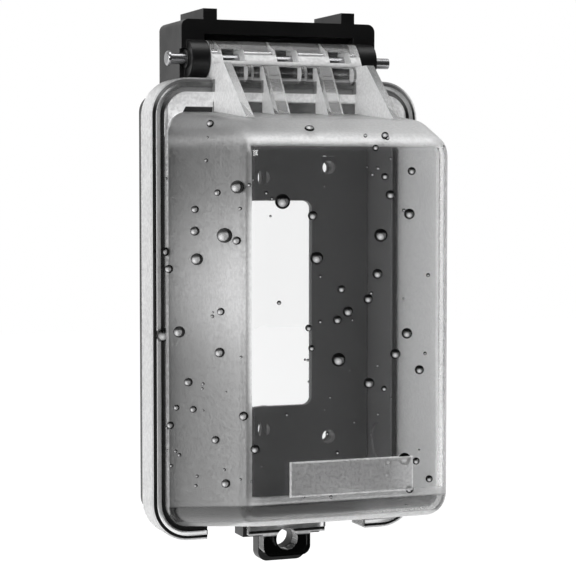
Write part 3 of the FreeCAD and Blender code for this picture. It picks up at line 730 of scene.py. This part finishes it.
DROPS = [
    (282.6, 201.5, 6.9), (224.7, 235.4, 7.0), (237.4, 186.9, 6.0), (197.0, 259.2, 5.7),
    (162.5, 335.0, 7.0), (179.3, 331.9, 5.6), (166.1, 251.6, 4.2), (169.0, 269.0, 4.2),
    (194.9, 231.1, 4.4), (195.1, 209.3, 3.6), (217.5, 192.6, 3.1), (236.8, 240.6, 3.8),
    (210.3, 123.6, 3.7), (309.5, 128.6, 4.8), (385.0, 135.5, 3.4), (375.5, 147.9, 3.0),
    (220.9, 311.6, 3.5), (219.8, 352.5, 4.6), (188.4, 382.1, 4.1), (193.4, 409.2, 3.3),
    (176.6, 407.6, 2.9), (170.5, 425.2, 3.7), (215.7, 439.8, 3.7), (226.0, 483.5, 4.1),
    (243.6, 416.1, 4.2), (255.1, 449.2, 4.2), (390.4, 194.8, 4.4), (409.4, 213.9, 5.0),
    (411.7, 171.0, 3.8), (448.2, 178.4, 2.6), (384.9, 176.4, 3.4), (312.7, 215.7, 4.4),
    (380.9, 235.2, 6.2), (316.7, 258.1, 6.0), (377.5, 273.8, 4.7), (341.4, 289.1, 3.7),
    (368.1, 298.9, 4.4), (348.0, 311.6, 4.8), (337.4, 319.9, 4.1), (338.6, 359.7, 6.4),
    (369.0, 383.1, 5.0), (384.1, 388.6, 2.8), (395.4, 353.9, 4.8), (406.9, 333.3, 5.0),
    (419.4, 369.7, 4.3), (404.6, 458.9, 5.7), (416.0, 461.0, 3.4), (388.4, 461.8, 3.2),
    (387.3, 474.4, 3.2), (429.2, 478.8, 3.4), (449.0, 476.8, 3.2), (409.6, 489.3, 3.7),
    (311.6, 348.2, 3.0), (308.7, 328.0, 3.2),
]
PIXELS_PER_METRE = 3150.0

# Small drops, strewn over the part of the photograph that the lid fills.
STREWN_SEED = 41
STREWN_COUNT = 70
STREWN_ACROSS = (160, 450)
STREWN_DOWN = (125, 520)
STREWN_RADIUS = (0.9, 2.0)

# A drop's rise as a share of its radius, how deep its foot sinks into the lid, and how far it
# may stretch where the lid is seen at a slant. No drop reaches past the front of the lid.
DROP_RISE = 0.45
DROP_SINK = 0.00003
WIDEST_DROP = 2.2
LEAST_SLANT = 0.1
FRONT_LIMIT = -cad_low.y - 0.00002
DROP_RINGS = 10
DROP_AROUND = 24

# A drop's painted shading, in shares of its radius: where the painted dark edge and the painted
# shade at the top begin and over what width they grow, how much the top darkens, and where the
# painted highlight lies.
EDGE_START = 0.70
EDGE_WIDTH = 0.10
DARK_START = 0.25
DARK_WIDTH = 0.35
DARK_SHARE = 0.75
SHINE_LEFT = 0.15
SHINE_DOWN = 0.30
SHINE_REACH = 0.62


def drop_shade(out, a, b):
    """Painted shading: 0 dark, 1 clear, 2 white highlight, at a share of the radius and its parts
    to the right and up.
    """
    painted_top_shade = min(1.0, max(0.0, (b - DARK_START) / DARK_WIDTH))
    edge = min(1.0, max(0.0, (out - EDGE_START) / EDGE_WIDTH))
    painted_highlight = max(0.0, 1.0 - math.hypot(a + SHINE_LEFT, b + SHINE_DOWN) / SHINE_REACH)
    return (1.0 - edge) * (1.0 - painted_top_shade * DARK_SHARE + painted_highlight)


def drop_rings(place, normal, radius, rise, ray):
    """Rings of points, each with its painted shade, for one flattened dome."""
    slant = abs(ray.dot(normal))
    along = (ray - normal * ray.dot(normal)).normalized()
    long = min(WIDEST_DROP, 1.0 / max(slant, LEAST_SLANT))
    across = normal.cross(along)
    # The painted shade and highlight are laid out along the camera's right and up.
    right, up = camera_turn.col[0], camera_turn.col[1]
    rings = []
    for level in range(DROP_RINGS + 1):
        angle = math.pi / 2 * level / DROP_RINGS
        out, high = math.cos(angle), math.sin(angle)
        ring = []
        for step in range(1 if level == DROP_RINGS else DROP_AROUND):
            turn = 2 * math.pi * step / DROP_AROUND
            offset = along * (math.cos(turn) * out * long) + across * (math.sin(turn) * out)
            point = place + offset * radius + normal * (high * rise)
            ring.append((point, drop_shade(out, offset.dot(right), offset.dot(up))))
        rings.append(ring)
    return rings


def build_drops(name, drops):
    mesh = bpy.data.meshes.new(name)
    form = bmesh.new()
    shade = form.verts.layers.float.new("drop_shade")
    for rings in drops:
        rows = []
        for ring in rings:
            row = []
            for point, value in ring:
                vert = form.verts.new(point)
                vert[shade] = value
                row.append(vert)
            rows.append(row)
        for low, high in zip(rows, rows[1:]):
            count = len(low)
            for step in range(count):
                following = (step + 1) % count
                if len(high) == 1:
                    form.faces.new((low[step], low[following], high[0]))
                else:
                    form.faces.new((low[step], low[following], high[following], high[step]))
        form.faces.new(list(reversed(rows[0])))
    for face in form.faces:
        # The foot, a face of many sides, stays flat.
        face.smooth = len(face.verts) < 5
    bmesh.ops.recalc_face_normals(form, faces=form.faces)
    form.to_mesh(mesh)
    form.free()
    piece = bpy.data.objects.new(name, mesh)
    bpy.context.scene.collection.objects.link(piece)
    return piece


def set_drops():
    tree = BVHTree.FromObject(nodes["lid"], bpy.context.evaluated_depsgraph_get())
    chance = random.Random(STREWN_SEED)
    strewn = [
        (
            chance.uniform(*STREWN_ACROSS),
            chance.uniform(*STREWN_DOWN),
            chance.uniform(*STREWN_RADIUS),
        )
        for _ in range(STREWN_COUNT)
    ]
    drops = []
    for u, v, pixels in DROPS + strewn:
        ray = pixel_ray(u, v)
        place, normal, _, _ = tree.ray_cast(camera.location, ray)
        if place is None:
            continue
        radius = pixels / PIXELS_PER_METRE
        rise = max(min(radius * DROP_RISE, FRONT_LIMIT + place.y), 0.0)
        foot = place - normal * DROP_SINK
        drops.append(drop_rings(foot, normal, radius, rise + DROP_SINK, ray))
    piece = build_drops("water_drops", drops)
    piece.data.materials.append(water("water"))
    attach(piece, "lid")


set_drops()

# Studio. It is white all round for the camera and for what it sees through the lid. What the
# part mirrors is bright ahead and above and dark behind the camera. Plain surfaces get an even
# light. A span is a range of the ray's direction, and levels are the light at its two ends.

EVEN_LIGHT = 0.5
AHEAD_SPAN = (-0.2, 0.9)
AHEAD_LEVELS = (0.04, 0.9)
ABOVE_SPAN = (0.2, 0.9)
ABOVE_LEVELS = (0.0, 0.35)
ONWARD_SPAN = (-0.05, 0.15)

FLOOR_HEIGHT = -0.2
FLOOR_NEAR = -0.45
FLOOR_FAR = 2.4
FLOOR_HALF_WIDTH = 1.5
FLOOR_COLOUR = (0.8, 0.8, 0.8)
SEEN_COLOUR = (0.5, 0.5, 0.5)
SEEN_GLOW = 0.80

# Name, place, what it points at, width, height and power.
LAMPS = (
    ("left_softbox", (-0.75, -0.15, 0.15), (0, -0.03, 0), 0.5, 0.8, 2.2),
    ("front_softbox", (-0.45, -0.65, 0.25), (0, -0.03, 0), 0.3, 0.3, 1.8),
    ("top_softbox", (0.05, -0.15, 0.75), (0, -0.03, 0.03), 0.6, 0.4, 2.0),
)


def make_world():
    world = bpy.data.worlds.new("studio")
    bpy.context.scene.world = world
    world.use_nodes = True
    tree = world.node_tree
    tree.nodes.clear()
    path = make_node(tree, "LightPath").outputs
    _, away, up = parts(tree, make_node(tree, "TexCoord").outputs["Generated"])
    ahead = remap(tree, away, *AHEAD_SPAN, *AHEAD_LEVELS, smooth=True)
    above = remap(tree, up, *ABOVE_SPAN, *ABOVE_LEVELS, smooth=True)
    even = product(tree, path["Is Diffuse Ray"], EVEN_LIGHT)
    level = maths(tree, "MAXIMUM", maths(tree, "MAXIMUM", ahead, above), even)
    room = make_node(tree, "Background", {"Strength": level})
    white = make_node(tree, "Background", {"Color": (1.0, 1.0, 1.0)})
    through = product(tree, path["Is Transmission Ray"], mask(tree, away, *ONWARD_SPAN))
    seen = maths(tree, "MAXIMUM", path["Is Camera Ray"], through)
    surface(tree, mix_shaders(tree, seen, room, white), "OutputWorld")


def make_lamp(name, place, target, width, height, power):
    data = bpy.data.lights.new(name, "AREA")
    data.shape = "RECTANGLE"
    data.size, data.size_y = width, height
    data.energy = power
    lamp = bpy.data.objects.new(name, data)
    bpy.context.scene.collection.objects.link(lamp)
    lamp.location = place
    lamp.rotation_mode = "QUATERNION"
    lamp.rotation_quaternion = (Vector(target) - Vector(place)).to_track_quat("-Z", "Y")


def make_floor():
    mesh = bpy.data.meshes.new("floor")
    form = bmesh.new()
    corners = (
        (-FLOOR_HALF_WIDTH, FLOOR_NEAR),
        (FLOOR_HALF_WIDTH, FLOOR_NEAR),
        (FLOOR_HALF_WIDTH, FLOOR_FAR),
        (-FLOOR_HALF_WIDTH, FLOOR_FAR),
    )
    form.faces.new([form.verts.new((x, y, FLOOR_HEIGHT)) for x, y in corners])
    form.to_mesh(mesh)
    form.free()
    floor = bpy.data.objects.new("floor", mesh)
    bpy.context.scene.collection.objects.link(floor)
    material, tree = new_material("floor")
    plain = make_node(tree, "BsdfDiffuse", {"Color": FLOOR_COLOUR})
    shaded = make_node(tree, "BsdfDiffuse", {"Color": SEEN_COLOUR})
    glow = make_node(tree, "Emission", {"Strength": SEEN_GLOW})
    both = make_node(tree, "AddShader")
    for socket, shader in zip(both.inputs, (shaded, glow)):
        feed(tree, socket, shader.outputs[0])
    path = make_node(tree, "LightPath").outputs
    seen = maths(tree, "MAXIMUM", path["Is Camera Ray"], path["Is Glossy Ray"])
    seen = maths(tree, "MAXIMUM", seen, path["Is Transmission Ray"])
    surface(tree, mix_shaders(tree, seen, plain, both))
    mesh.materials.append(material)


make_world()
make_floor()
for lamp in LAMPS:
    make_lamp(*lamp)
bpy.context.scene.view_settings.view_transform = "Standard"

bpy.context.view_layer.update()
